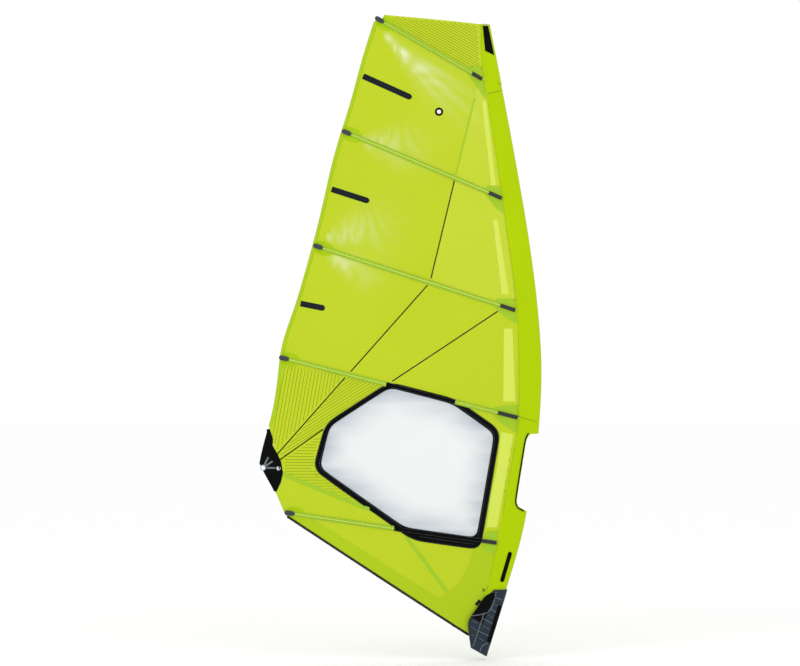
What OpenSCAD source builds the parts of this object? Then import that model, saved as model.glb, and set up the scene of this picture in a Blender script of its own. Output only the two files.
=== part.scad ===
// Windsurf sail, five round battens, clear window, hollow mast sleeve.
// X runs towards the luff, Z up the mast, Y through the sail. The origin is the tack, on the mast axis.

/* [Sail] */
// Radius of the mast sleeve at the boom
sleeve_r = 30; // [28:0.5:32]
// Wall of the mast sleeve
sleeve_t = 1.5; // [1:0.1:2]
// Thickness of the film and cloth panels
panel_t = 1; // [0.8:0.1:1.2]
// Depth of the belly as a share of the chord
belly = 0.05; // [0.03:0.005:0.06]
// How far the head twists open at the leech
twist = 60; // [0:5:90]

/* [Battens] */
// Diameter of a batten rod
batten_d = 8; // [6:0.5:8.5]
// Width of a batten pocket with its sewn edges
pocket_w = 34; // [30:1:40]
// Travel of a tensioner's slider
travel = 16; // [8:1:18]

/* [Hardware] */
// Radius of the hole in the clew ring
clew_r = 13; // [10:0.5:14]
// Radius of a downhaul sheave
sheave_r = 14; // [11:0.5:15]
// Radius of the pulley axle
axle_r = 3; // [2:0.25:4]

/* [Hidden] */
$fn = 40;
gap = 1.2; // half of the slit between neighbouring panels, under the seams
lift_1 = 1.5; // first layer above a panel's middle surface
layer_t = 1; // thickness of a sewn-on layer
rod_lift = 9; // height of a batten's axis above the panels
HEAD_Z = 4373;
CLEW_Z = 1307;

// Luff front edge, sleeve aft seam, leech: position against height
LUFF = [[-40, 38], [200, 114], [450, 190], [780, 286], [1130, 355], [1520, 408], [1960, 430], [2380, 406],
        [2880, 344], [3390, 259], [3890, 168], [4400, 65]];
SEAM = [[-60, -85], [200, -20], [420, 45], [655, 100], [850, 139], [1510, 257], [1720, 273], [2100, 271],
        [2460, 252], [3045, 172], [3240, 147], [4090, 20], [4400, 12]];
LEECH = [[0, -1545], [1307, -1545], [1372, -1533], [1540, -1484], [1710, -1442], [1900, -1414], [2130, -1386],
         [2460, -1276], [2970, -1134], [3470, -1016], [3810, -910], [4140, -820], [4400, -738], [4500, -705]];
// Radius of the sleeve's front, and slope of a cut across the sleeve, against height
RADIUS = [[-60, 1], [1500, 1], [3000, 0.85], [4400, 0.66]];
SLOPE = [[-60, -0.57], [600, -0.4], [1586, -0.25], [2400, -0.3], [3150, -0.45], [3960, -0.62], [4373, -0.1]];

// Batten lines: leech end, luff end of the rod, end of the cap at the sleeve
B1 = [[-735, 4423], [-57, 4034], [16, 3992]];
B2 = [[-968, 3634], [62, 3203], [153, 3160]];
B3 = [[-1168, 2834], [140, 2413], [248, 2377]];
B4 = [[-1408, 2051], [123, 1664], [266, 1627]];
B5 = [[-1369, 965], [10, 772], [118, 752]];
BATTENS = [B1, B2, B3, B4, B5];
NUMBERS = [0 : 4];

// ---- the sail's surface ----
// A smooth curve through a list of [key, value] pairs
function span_at(list, k, i = 0) = i >= len(list) - 2 || k < list[i + 1][0] ? i : span_at(list, k, i + 1);
function grade(list, i) =
    let (a = list[max(i - 1, 0)], b = list[min(i + 1, len(list) - 1)]) (b[1] - a[1]) / (b[0] - a[0]);
function smooth(list, k) =
    let (i = span_at(list, k), w = list[i + 1][0] - list[i][0], t = (k - list[i][0]) / w)
    (2 * pow(t, 3) - 3 * t * t + 1) * list[i][1] + (3 * t * t - 2 * pow(t, 3)) * list[i + 1][1]
    + (pow(t, 3) - 2 * t * t + t) * w * grade(list, i) + (pow(t, 3) - t * t) * w * grade(list, i + 1);

function nose_r(z) = sleeve_r * lookup(z, RADIUS);
function mast_x(z) = smooth(LUFF, z) - nose_r(z);
function leech_x(z) = smooth(LEECH, z);
function seam_x(z) = smooth(SEAM, z);
function rise(z) = min(1, max(0, (z - CLEW_Z) / (HEAD_Z - CLEW_Z)));
function fullness(z) = 0.6 + 0.4 * min(1, max(0, z / CLEW_Z));
// Middle surface of the sail
function mid(x, z) =
    let (chord = mast_x(z) - leech_x(z), u = max(0, (mast_x(z) - x) / chord))
    -belly * chord * fullness(z) * sin(180 * pow(min(u, 1.05), 0.8)) - twist * u * pow(rise(z), 2);
// Half of the sleeve's thickness, nothing aft of its seam
edge_h = 2.2;
function half(x, z) =
    let (r = nose_r(z), c = mast_x(z), s = (x - seam_x(z)) / (c - seam_x(z)))
    s <= 0 ? 0 : s < 1 ? edge_h + (r - edge_h) * sin(90 * s) : sqrt(max(0, r * r - (x - c) * (x - c)));
// The patterns are drawn from the tack corner; tack_x moves them so that the mast axis meets the origin
tack_x = mast_x(0);
function at(x, y, z) = [x - tack_x, y, z];
// A point above the sail: side -1 is the leeward face, 1 the windward face
function on(p, lift, side = -1) = at(p[0], mid(p[0], p[1]) + side * (half(p[0], p[1]) + lift), p[1]);

// ---- building blocks ----
function mix(a, b, t) = a + (b - a) * t;
function unit(v) = v / norm(v);
// A polyline with each stretch cut into k pieces
function cut(path, k) = [
    for (i = [0 : len(path) - 2]) for (j = [0 : k - 1]) mix(path[i], path[i + 1], j / k),
    path[len(path) - 1]];
function across(path, i) =
    let (a = path[max(i - 1, 0)], b = path[min(i + 1, len(path) - 1)], d = unit(b - a)) [-d[1], d[0]];

leech_inset = 6; // the panels stop this far inside the leech, under its tape
// A closed skin between two grids of points; loop joins the last row to the first
module shell(a, b, loop = false) {
    n = len(a);
    m = len(a[0]);
    last = loop ? n - 1 : n - 2;
    mi = floor(n / 2);
    turn = cross(a[mi][0] - a[mi - 1][0], a[mi][1] - a[mi][0]) * (a[mi][0] - b[mi][0]) > 0;
    o = n * m; // where the points of the second grid start
    e = (n - 1) * m; // where the last row starts
    quads = concat(
        [for (i = [0 : last]) for (j = [0 : m - 2]) let (a = i * m + j, b = (i + 1) % n * m + j)
            [a, b, b + 1, a + 1]],
        [for (i = [0 : last]) for (j = [0 : m - 2]) let (a = o + i * m + j, b = o + (i + 1) % n * m + j)
            [a + 1, b + 1, b, a]],
        [for (i = [0 : last]) let (a = i * m, b = (i + 1) % n * m)
            [a, o + a, o + b, b]],
        [for (i = [0 : last]) let (a = i * m + m - 1, b = (i + 1) % n * m + m - 1)
            [b, o + b, o + a, a]],
        loop ? [] : [for (j = [0 : m - 2]) [j + 1, o + j + 1, o + j, j]],
        loop ? [] : [for (j = [0 : m - 2]) [e + j, o + e + j, o + e + j + 1, e + j + 1]]);
    faces = [for (q = quads) each [[q[0], q[1], q[2]], [q[0], q[2], q[3]]]];
    polyhedron([for (g = [a, b]) for (row = g) each row],
               turn ? [for (f = faces) [f[2], f[1], f[0]]] : faces, 8);
}
// A solid skinned over planar rings
module skin(rings) {
    n = len(rings);
    m = len(rings[0]);
    c = rings[0][0];
    turn = cross(rings[0][1] - c, rings[0][2] - rings[0][1]) * (rings[1][0] - c) < 0;
    faces = concat(
        [[for (j = [0 : m - 1]) j]],
        [[for (j = [m - 1 : -1 : 0]) (n - 1) * m + j]],
        [for (i = [0 : n - 2]) for (j = [0 : m - 1]) let (k = (j + 1) % m)
            each [[i * m + k, i * m + j, (i + 1) * m + j], [i * m + k, (i + 1) * m + j, (i + 1) * m + k]]]);
    turned_faces = [for (f = faces) [for (j = [len(f) - 1 : -1 : 0]) f[j]]];
    polyhedron([for (r = rings) each r], turn ? turned_faces : faces, 8);
}
// A panel between two rails that have the same number of corners
module panel(top, bottom, k = 4, rows = 5, lift = -panel_t / 2, t = panel_t, slit = gap, side = -1,
             leech = false, seam = false, seam_across = false) {
    u = cut(top, k);
    l = cut(bottom, k);
    n = len(u) - 1;
    grid = [for (i = [0 : n]) [for (j = [0 : rows])
        let (w = norm(u[i] - l[i]), v = max(slit / w, min(1 - slit / w, j / rows)),
             e = i == 0 ? 1 : n - 1, p = mix(u[i], l[i], v), q = mix(u[e], l[e], v))
        i == 0 || i == n ? p + unit(q - p) * slit : p]];
    function edge(i, j) = let (p = grid[i][j])
        leech && i == 0 ? [leech_x(p[1]) + leech_inset, p[1]]
        : seam && i == n || seam_across && j == rows ? [seam_x(p[1]) - gap, p[1]] : p;
    shell([for (i = [0 : n]) [for (j = [0 : rows]) on(edge(i, j), lift + t, side)]],
          [for (i = [0 : n]) [for (j = [0 : rows]) on(edge(i, j), lift, side)]]);
}
// A ribbon, pocket or folded tape along a path: [across, height] lists for its outer and inner faces
module strip(path, outer, inner, side = -1) {
    function place(i, q) = on(path[i] + q[0] * across(path, i), q[1], side);
    shell([for (i = [0 : len(path) - 1]) [for (q = outer) place(i, q)]],
          [for (i = [0 : len(path) - 1]) [for (q = inner) place(i, q)]]);
}
module ribbon(path, w, lift, t, side = -1) {
    strip(path, [[-w / 2, lift + t], [w / 2, lift + t]], [[-w / 2, lift], [w / 2, lift]], side);
}
// A round rod that follows the sail at a height
module rod(path, r, lift, sides = 10) {
    skin([for (i = [0 : len(path) - 1]) [for (j = [0 : sides - 1]) let (a = 360 * j / sides)
        let (p = on(path[i], lift), m = across(path, i) * cos(a)) p + r * [m[0], sin(a), m[1]]]]);
}

// ---- mast sleeve ----
SIDE = [0 : 0.2 : 0.99];
NOSE = [-90 : 22.5 : 90];
// A section of a sleeve: its aft end, mast point, nose radius and half-width at the aft end
function section(a, c, r, w) =
    let (e = unit(c - a))
    [for (s = SIDE) let (p = mix(a, c, s), y = w + (r - w) * sin(90 * s))
        at(p[0], mid(p[0], p[1]) - y, p[1]),
     for (v = NOSE) let (p = c + e * r * cos(v)) at(p[0], r * sin(v), p[1]),
     for (s = SIDE) let (p = mix(c, a, s + 0.2), y = w + (r - w) * sin(90 * (0.8 - s)))
        at(p[0], mid(p[0], p[1]) + y, p[1])];
function seam_point(z, slope) =
    let (c = mast_x(z), x1 = seam_x(z), x2 = seam_x(z + slope * (x1 - c)), x3 = seam_x(z + slope * (x2 - c)))
    [x3, z + slope * (x3 - c)];
function ring(z, inset = 0) =
    let (c = [mast_x(z), z], a = seam_point(z, lookup(z, SLOPE)), deep = inset > 0 ? 14 : 0)
    section(a + unit(c - a) * deep, c, nose_r(z) - inset, edge_h - inset / 2);
function turned(g) = [for (i = [0 : len(g[0]) - 1]) [for (row = g) row[i]]];
module tube(z1, z2, n) {
    shell(turned([for (i = [0 : n]) ring(mix(z1, z2, i / n))]),
          turned([for (i = [0 : n]) ring(mix(z1, z2, i / n), sleeve_t)]), true);
}
module sleeve_head() { color("yellowgreen") tube(3970, HEAD_Z, 5); }
module sleeve_main() { color("yellowgreen") tube(1588, 3966, 22); }
CUTOUT = [[520, 1514], [354, 1512], [336, 1498], [321, 1465], [256, 1055], [257, 1030], [268, 1006],
          [328, 972], [520, 940]];
module sleeve_foot() { color("yellowgreen") tube(136, 936, 9); }
module sleeve_lower() {
    color("yellowgreen") difference() {
        tube(939, 1584, 8);
        translate(at(0, 0, 0)) rotate([90, 0, 0]) linear_extrude(200, center = true) polygon(CUTOUT);
    }
}
module sleeve_tip_cap() {
    color("dimgray") skin([for (rise = [0.5, 4.5]) [for (p = ring(HEAD_Z)) p + [0, 0, rise]]]);
}
module head_patch() {
    color("black") panel([[16, 4370], [58, 4366]], [[34, 4190], [100, 4160]], 4, 4, lift_1, layer_t);
}
module cutout_binding() {
    edge = [[340, 1517], [331, 1511], [313, 1466], [248, 1058], [249, 1026], [262, 998], [305, 974]];
    color("black") for (side = [-1, 1]) ribbon(cut(edge, 2), 10, 3, layer_t, side);
}
module sleeve_strip() {
    color("black") ribbon(cut([[212, 690], [150, 478]], 5), 28, lift_1, layer_t);
}

// ---- panels ----
A1 = [2, 4000];
A2 = [-174, 3307];
A3 = [-350, 2579];
A4 = [-914, 1938];
L1 = [-728, 4418];
L2 = [-961, 3631];
L3 = [-1162, 2831];
L4 = [-1394, 2047];
S2 = [155, 3162];
S3 = [250, 2376];
S4 = [267, 1626];
C3 = [172, 2402];
C4 = [-640, 1865];
film = "yellowgreen";
module head_panel() {
    color("olive") panel([[-672, 4440], [13, 4378]], [[-672, 4388], [20, 3991]], 8, 4, seam = true);
}
module leech_panel_1() { color(film) panel([L1, A1], [L2, A2], 10, 5, leech = true); }
module leech_panel_2() { color(film) panel([L2, A2], [L3, A3], 10, 5, leech = true); }
module leech_panel_3() { color(film) panel([L3, A3], [L4, A4], 9, 5, leech = true); }
module luff_panel_1() { color("gold") panel([A1, [20, 3990]], [A2, S2], 4, 6, seam = true); }
module luff_panel_2() { color("gold") panel([A2, S2], [A3, S3], 7, 6, seam = true); }
module luff_panel_3() { color("gold") panel([C3, S3], [C4, S4], 9, 6, seam = true); }
module luff_panel_4() {
    color("gold")
        panel([[-183, 1744], [122, 1527], [-12, 750]], [[265, 1622], [262, 1540], [118, 757]], 5, 3,
              seam_across = true);
}
module centre_panel() { color(film) panel([A3, C3], [A4, C4], 7, 6); }
module clew_panel_upper() {
    color("olive") panel([L4, A4], [[-1482, 1556], [-1428, 1366]], 6, 5, leech = true);
}
module clew_panel_middle() {
    color("olive") panel([[-1424, 1362], A4, C4], [[-1396, 1336], [-1072, 1566], [-641, 1862]], 5, 3);
}
module clew_panel_lower() {
    color("olive") panel([[-1396, 1334], [-1070, 1564], [-1148, 1276], [-744, 990]],
                         [[-1384, 1238], [-1300, 1203], [-1150, 1142], [-758, 983]], 4, 4);
}
module foot_panel_aft() {
    color(film)
        panel([[-1384, 1230], [-744, 972], [-502, 816]], [[-1432, 1108], [-1358, 936], [-180, 166]], 8, 6);
}
module foot_panel_fore() {
    color("gold")
        panel([[-500, 814], [-12, 744], [116, 753]], [[-176, 164], [-100, 114], [-50, 84]], 5, 6,
              seam = true);
}

// ---- window ----
OUTER = [[-635, 1880], [-170, 1760], [145, 1540], [3, 702], [-476, 772], [-1172, 1267], [-1082, 1589]];
INNER = [[-631, 1838], [-196, 1724], [97, 1515], [-27, 791], [-528, 865], [-1120, 1281], [-1049, 1567]];
bend = 5; // pieces in each rounded corner
function bent(c, a, b, r, t) = let (p = c + unit(a - c) * r, q = c + unit(b - c) * r)
    mix(mix(p, c, t), mix(c, q, t), t);
// A loop with rounded corners, each straight side cut into three
function rounded(loop, r) = let (n = len(loop)) [for (i = [0 : n - 1])
    let (c = loop[i], a = loop[(i + n - 1) % n], b = loop[(i + 1) % n], e = loop[(i + 2) % n],
         p = bent(c, a, b, r, 1), q = bent(b, c, e, r, 0))
    each [for (j = [0 : bend]) bent(c, a, b, r, j / bend), mix(p, q, 1 / 3), mix(p, q, 2 / 3)]];
module window_pane() {
    color("lightcyan") panel([[-1060, 1565], [-633, 1855], [-184, 1738], [118, 1522]],
                             [[-1142, 1277], [-900, 1105], [-502, 822], [-14, 751]], 4, 6);
}
module window_frame() {
    outer = rounded(OUTER, 80);
    inner = rounded(INNER, 55);
    rows = [for (i = [0 : len(outer) - 1]) [outer[i], mix(outer[i], inner[i], 0.5), inner[i]]];
    color("black") shell([for (r = rows) [for (p = r) on(p, lift_1 + layer_t)]],
                         [for (r = rows) [for (p = r) on(p, lift_1)]], true);
}

// ---- edge tapes: folded over the edge, open towards the sail ----
leech_tape_w = 22;
foot_tape_w = 14;
tape_in = 1.4; // the tape's inner faces from the middle of the sail
tape_out = 2.4; // the tape's outer faces
tape_over = 3; // how far the fold stands outside the edge
module folded(path, w) {
    s = sign(w) * tape_over;
    f = sign(w) * tape_over - sign(w) * tape_in;
    strip(path, [[w, tape_out], [-s, tape_out], [-s, -tape_out], [w, -tape_out]],
          [[w, tape_in], [-f, tape_in], [-f, -tape_in], [w, -tape_in]]);
}
module leech_tape() {
    edge = [for (i = [0 : 30]) let (z = mix(1562, 4392, i / 30)) [leech_x(z), z]];
    color("lime") folded(edge, -leech_tape_w);
}
module foot_tape() { color("black") folded(cut([[-1352, 932], [-84, 104]], 14), foot_tape_w); }

// ---- battens ----
tensioner_l = 68;
function along(b, d) = b[0] + unit(b[2] - b[0]) * d;
function even(from, to, n) = [for (i = [0 : n]) mix(from, to, i / n)];
// Stations along a batten that every piece on it shares, so that their facets run side by side
station = 62;
function stretch(b, d1, d2) = let (first = ceil(d1 / station + 0.1) * station)
    [along(b, d1), for (d = [first : station : d2 - 5]) along(b, d), along(b, d2)];
function cap_at(b) = norm(b[1] - b[0]);
module batten(i) {
    b = BATTENS[i];
    color("darkslategray") rod(stretch(b, station, cap_at(b) + 60), batten_d / 2, rod_lift, 8);
}
module batten_1() { batten(0); }
module batten_2() { batten(1); }
module batten_3() { batten(2); }
module batten_4() { batten(3); }
module batten_5() { batten(4); }
function arch(r) = [for (a = [180 : -45 : 0]) [r * cos(a), rod_lift + r * sin(a)]];
pocket_in = batten_d / 2 + 0.7; // inner radius of a pocket over its rod
pocket_t = 0.8; // a pocket's cloth
flange = 3; // lift of the sewn edges of pockets and caps
module batten_pockets() {
    w = pocket_w / 2;
    foot = pocket_in + 1;
    top = flange + pocket_t;
    outer = concat([[-w, top], [-foot - pocket_t, top]], arch(pocket_in + pocket_t),
                   [[foot + pocket_t, top], [w, top]]);
    inner = concat([[-w, flange], [-foot, flange]], arch(pocket_in), [[foot, flange], [w, flange]]);
    color("limegreen") for (b = BATTENS)
        strip(stretch(b, tensioner_l + 6, cap_at(b)), outer, inner);
}
module luff_caps() {
    color("black") for (b = BATTENS)
        strip(stretch(b, cap_at(b) + 2, norm(b[2] - b[0]) - 3),
              [[-13.5, flange], [-12.5, 12], [-8, 15.5], [8, 15.5], [12.5, 12], [13.5, flange]],
              [[-12, flange], [-11, 11.5], [-7, 14], [7, 14], [11, 11.5], [12, flange]]);
}
module luff_reinforcements() {
    color("olivedrab") {
        panel([[-71, 4081], [14, 4082]], [[-98, 4041], [44, 3850]], 3, 3, lift_1, layer_t);
        for (ends = [
            [[[52, 3247], [100, 3246], [140, 3243]], [[24, 3203], [104, 3100], [166, 3052]]],
            [[[111, 2458], [180, 2459], [246, 2457]], [[90, 2410], [168, 2334], [255, 2282]]],
            [[[93, 1697], [185, 1712], [268, 1718]], [[75, 1665], [140, 1592], [253, 1518]]],
            [[[34, 826], [84, 836], [130, 840]], [[16, 722], [50, 690], [94, 660]]]])
            panel(ends[0], ends[1], 2, 3, lift_1, layer_t);
    }
}
MINI = [[[-818, 4013], [-480, 3860]], [[-1038, 3224], [-776, 3139]], [[-1256, 2425], [-1086, 2391]]];
module mini_battens() { color("darkslategray") for (m = MINI) ribbon(even(m[0], m[1], 5), 22, 1.8, 1.2); }
module mini_pockets() {
    color("black") for (m = MINI)
        strip(even(m[0], m[1], 5), [[-20, 2.5], [-14, 4.6], [14, 4.6], [20, 2.5]],
              [[-20, 1.5], [-13, 3.6], [13, 3.6], [20, 1.5]]);
}

// ---- batten tensioners: x along the batten from the leech, y out of the sail ----
function tension_at(b) = on(along(b, 2), rod_lift);
function tension_dir(b) = unit(on(along(b, 2 + tensioner_l), rod_lift) - tension_at(b));
module place(p, x, out) {
    y = unit(out - x * (out * x));
    z = cross(x, y);
    multmatrix([[x[0], y[0], z[0], p[0]], [x[1], y[1], z[1], p[1]], [x[2], y[2], z[2], p[2]], [0, 0, 0, 1]])
        children();
}
module on_batten(i) { place(tension_at(BATTENS[i]), tension_dir(BATTENS[i]), [0, -1, 0]) children(); }
module bar(r, x1, x2) { translate([x1, 0, 0]) rotate([0, 90, 0]) cylinder(r = r, h = x2 - x1); }
screw_r = 2.5;
fit = 0.05;
slider_l = 16;
slider_x = 45;
housing_w = 32;
housing_h = 12;
module housing() {
    difference() {
        rotate([90, 0, 0]) translate([0, 0, -housing_h / 2]) linear_extrude(housing_h) union() {
            translate([housing_w / 2, 0]) circle(housing_w / 2);
            translate([tensioner_l - housing_w / 2, 0]) circle(housing_w / 2);
            translate([housing_w / 2, -housing_w / 2]) square([tensioner_l - housing_w, housing_w]);
        }
        bar(4.8, -1, 7);
        bar(screw_r + fit, 6, 30);
        translate([slider_x - travel - 1, -4.8, -7.3]) cube([slider_l + travel + 1.4, 9.6, 14.6]);
        bar(batten_d / 2 + 0.5, 60, tensioner_l + 1);
    }
}
module screw() {
    difference() {
        union() {
            bar(screw_r, 5, 55);
            bar(4.4, 1.5, 6.5);
        }
        translate([1, 0, 0]) rotate([0, 90, 0]) cylinder(r = 2.3, h = 3, $fn = 6);
    }
}
module slider() {
    difference() {
        translate([slider_x, -4.5, -7]) cube([slider_l, 9, 14]);
        bar(screw_r + fit, slider_x - 1, slider_x + slider_l + 1);
        bar(batten_d / 2 + 0.3, slider_x + slider_l - 3, slider_x + slider_l + 1);
    }
}
module tensioner_housings() { color("darkslategray") for (i = NUMBERS) on_batten(i) housing(); }
module tensioner_screw_1() { color("silver") on_batten(0) screw(); }
module tensioner_screw_2() { color("silver") on_batten(1) screw(); }
module tensioner_screw_3() { color("silver") on_batten(2) screw(); }
module tensioner_screw_4() { color("silver") on_batten(3) screw(); }
module tensioner_screw_5() { color("silver") on_batten(4) screw(); }
module tensioner_slider_1() { color("gray") on_batten(0) slider(); }
module tensioner_slider_2() { color("gray") on_batten(1) slider(); }
module tensioner_slider_3() { color("gray") on_batten(2) slider(); }
module tensioner_slider_4() { color("gray") on_batten(3) slider(); }
module tensioner_slider_5() { color("gray") on_batten(4) slider(); }

// ---- clew ----
RING = [-1519, 1276];
EYELET = [-1409, 1273];
patch_h = 2; // half of the clew patch's thickness
function normal(p) = unit(cross(on(p + [1, 0], 0) - on(p, 0), on(p + [0, 1], 0) - on(p, 0)));
module square_on(p) { place(on(p, 0), normal(p), [0, 0, 1]) children(); }
module clew_patch() {
    color("black") difference() {
        panel([[-1486, 1550], [-1512, 1456], [-1533, 1372], [-1545, 1307], [-1518, 1251], [-1442, 1114]],
              [[-1488, 1548], [-1458, 1448], [-1434, 1372], [-1402, 1310], [-1390, 1232], [-1436, 1112]],
              2, 4, -patch_h, 2 * patch_h, 0.2);
        square_on(RING) bar(clew_r + 3.6, -9, 9);
        square_on(EYELET) bar(12.1, -9, 9);
    }
}
module grommet(bore, body, rim) {
    difference() {
        union() {
            bar(body, -5.5, 5.5);
            bar(rim, 3.5, 6);
            bar(rim, -6, -3.5);
        }
        bar(bore, -7, 7);
    }
}
module clew_ring() { color("silver") square_on(RING) grommet(clew_r, clew_r + 3.5, clew_r + 7); }
module clew_eyelet() { color("silver") square_on(EYELET) grommet(9, 12, 15); }
module clew_straps() {
    color("gray") for (end = [[-1482, 1350], [-1452, 1322], [-1432, 1275]])
        ribbon(cut([RING + unit(end - RING) * (clew_r + 9), end], 2), 12, 3, layer_t);
}

// ---- tack: webbing, pulley, fairing ----
PIN = [-50, -10, 96];
AXLE = [-50, -10, 50];
sheave_w = 7;
pitch = 7.6;
cheek_y = 1.5 * pitch + 0.3;
cheek_t = 2;
module across_y(p, r, w) { translate(p) rotate([90, 0, 0]) cylinder(r = r, h = w, center = true); }
module tack_webbing() {
    color("dimgray") difference() {
        union() {
            across_y(PIN, 6, 20);
            translate(PIN + [-1.5, -10, 4]) cube([3, 20, 66]);
        }
        across_y(PIN, 3.5, 30);
    }
}
module pulley_cage() {
    color("dimgray") {
        difference() {
            for (y = [-1, 1]) translate([0, y * (cheek_y + cheek_t / 2), 0]) {
                across_y(PIN, 10, cheek_t);
                across_y(AXLE, 12, cheek_t);
                translate(AXLE - [10, cheek_t / 2, 0]) cube([20, cheek_t, PIN[2] - AXLE[2]]);
            }
            across_y(AXLE, axle_r + fit, 60);
        }
        across_y(PIN, 3.2, 2 * cheek_y + 1);
    }
}
module pulley_axle() { color("silver") across_y(AXLE, axle_r, 2 * cheek_y + 2 * cheek_t + 2); }
module sheave(i) {
    w = sheave_w / 2;
    color("white") translate(AXLE + [0, i * pitch, 0]) rotate([90, 0, 0]) rotate_extrude()
        polygon([[axle_r + fit, -w], [sheave_r, -w], [sheave_r, 1 - w], [sheave_r - 3, 0], [sheave_r, w - 1],
                 [sheave_r, w], [axle_r + fit, w]]);
}
module sheave_1() { sheave(-1); }
module sheave_2() { sheave(0); }
module sheave_3() { sheave(1); }

// The fairing is one padded sheet that wraps round the foot of the mast and is open aft
FAIR_AFT = [[-25, -66], [40, -78], [110, -87], [135, -80], [257, -8], [350, 46], [385, 74], [425, 96]];
FAIR_SLOPE = [[-25, -0.57], [330, -0.57], [425, 0]];
FAIR_W = [[-25, 24], [150, 24], [425, 8]];
pad_t = 6;
function fairing_ring(z, out) =
    let (c = [mast_x(z), z], x = smooth(FAIR_AFT, z), a = [x, z + lookup(z, FAIR_SLOPE) * (x - c[0])])
    section(a, c, sleeve_r + 4 + out, max(lookup(z, FAIR_W), half(a[0], a[1]) + 5) + out);
module fairing_pad() {
    zs = [for (i = [0 : 14]) mix(-25, 425, i / 14)];
    color("darkslategray") shell(turned([for (z = zs) fairing_ring(z, pad_t)]),
                                 turned([for (z = zs) fairing_ring(z, 0)]));
}
function slice(v, n) = [for (i = [0 : n - 1]) v[i]];
module fairing_pocket() {
    zs = [for (i = [0 : 8]) mix(160, 392, i / 8)];
    color("black") shell(turned([for (z = zs) slice(fairing_ring(z, pad_t + 3.2), 4)]),
                         turned([for (z = zs) slice(fairing_ring(z, pad_t + 1.8), 4)]));
}
flap_w = 26;
FLAP_LOW = at(mast_x(62) + 6, -sleeve_r - pad_t - 5, 62);
FLAP_TOP = at(mast_x(318) + 6, -sleeve_r - pad_t - 5, 318);
module fairing_flap() {
    color("black") place(FLAP_LOW, unit(FLAP_TOP - FLAP_LOW), [0, -1, 0])
        cube([norm(FLAP_TOP - FLAP_LOW), 2, flap_w]);
}

sleeve_head();
sleeve_main();
sleeve_lower();
sleeve_foot();
sleeve_tip_cap();
head_patch();
cutout_binding();
sleeve_strip();
head_panel();
leech_panel_1();
leech_panel_2();
leech_panel_3();
luff_panel_1();
luff_panel_2();
luff_panel_3();
centre_panel();
clew_panel_upper();
clew_panel_middle();
clew_panel_lower();
foot_panel_aft();
foot_panel_fore();
luff_panel_4();
window_pane();
window_frame();
leech_tape();
foot_tape();
batten_1();
batten_2();
batten_3();
batten_4();
batten_5();
batten_pockets();
luff_caps();
luff_reinforcements();
mini_battens();
mini_pockets();
tensioner_housings();
tensioner_screw_1();
tensioner_screw_2();
tensioner_screw_3();
tensioner_screw_4();
tensioner_screw_5();
tensioner_slider_1();
tensioner_slider_2();
tensioner_slider_3();
tensioner_slider_4();
tensioner_slider_5();
clew_patch();
clew_ring();
clew_eyelet();
clew_straps();
tack_webbing();
pulley_cage();
pulley_axle();
sheave_1();
sheave_2();
sheave_3();
fairing_pad();
fairing_pocket();
fairing_flap();
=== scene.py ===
# %% [markdown]
# # A five-batten windsurf sail
# The sail is cloth and film held in a fixed curve by five rods. The CAD frame already has every
# piece in its right place, so this lesson takes each piece's surface from the frame, makes it finer,
# adds what a sailmaker adds (yarns, seams, stitches, tapes, patches), and gives it a real finish.

# %% Load the frame
import math
import random
import bmesh
import bpy
import numpy as np
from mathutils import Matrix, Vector
from mathutils.bvhtree import BVHTree


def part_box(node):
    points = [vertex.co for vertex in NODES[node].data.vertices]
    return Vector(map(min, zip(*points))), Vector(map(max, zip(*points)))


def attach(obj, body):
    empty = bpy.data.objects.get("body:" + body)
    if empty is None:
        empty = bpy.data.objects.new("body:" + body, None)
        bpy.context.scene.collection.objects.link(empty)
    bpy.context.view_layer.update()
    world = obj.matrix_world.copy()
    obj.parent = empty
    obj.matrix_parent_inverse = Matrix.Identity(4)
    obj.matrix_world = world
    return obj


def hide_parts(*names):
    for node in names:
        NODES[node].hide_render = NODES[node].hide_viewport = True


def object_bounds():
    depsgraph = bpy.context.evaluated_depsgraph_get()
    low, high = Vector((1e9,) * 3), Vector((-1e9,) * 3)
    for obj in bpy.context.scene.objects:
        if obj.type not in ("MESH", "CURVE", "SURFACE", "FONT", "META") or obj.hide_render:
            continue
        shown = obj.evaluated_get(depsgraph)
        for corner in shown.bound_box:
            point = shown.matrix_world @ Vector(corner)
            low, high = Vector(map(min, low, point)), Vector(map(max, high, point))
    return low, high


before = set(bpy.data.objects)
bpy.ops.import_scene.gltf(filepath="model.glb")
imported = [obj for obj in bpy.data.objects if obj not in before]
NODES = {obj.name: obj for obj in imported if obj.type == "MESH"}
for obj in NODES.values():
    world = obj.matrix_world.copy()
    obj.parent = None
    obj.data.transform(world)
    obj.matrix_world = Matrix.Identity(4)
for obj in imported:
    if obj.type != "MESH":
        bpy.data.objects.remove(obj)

cad_box = [list(v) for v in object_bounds()]
random.seed(6)
MM = 0.001
print("CAD box", cad_box)

# %% [markdown]
# ## Camera and light
# A flat studio picture: a long lens far away keeps the outline true, a white surround gives even light,
# and two large soft lamps from above give the film its sheen. The view transform is Standard, because
# a film-like curve would grey the saturated lime.

# %% Camera, surround, lamps and floor
scene = bpy.context.scene
scene.view_settings.view_transform = "Standard"
CENTRE = Vector((-0.581, 0, 2.219))
FAR = 23.33
cam = bpy.data.objects.new("camera", bpy.data.cameras.new("camera"))
cam.data.lens = 150
cam.data.sensor_width = 36
cam.data.clip_end = 100
cam.location = CENTRE - Vector((0, FAR, 0))
cam.rotation_euler = (math.radians(90), 0, 0)
scene.collection.objects.link(cam)
scene.camera = cam

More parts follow.
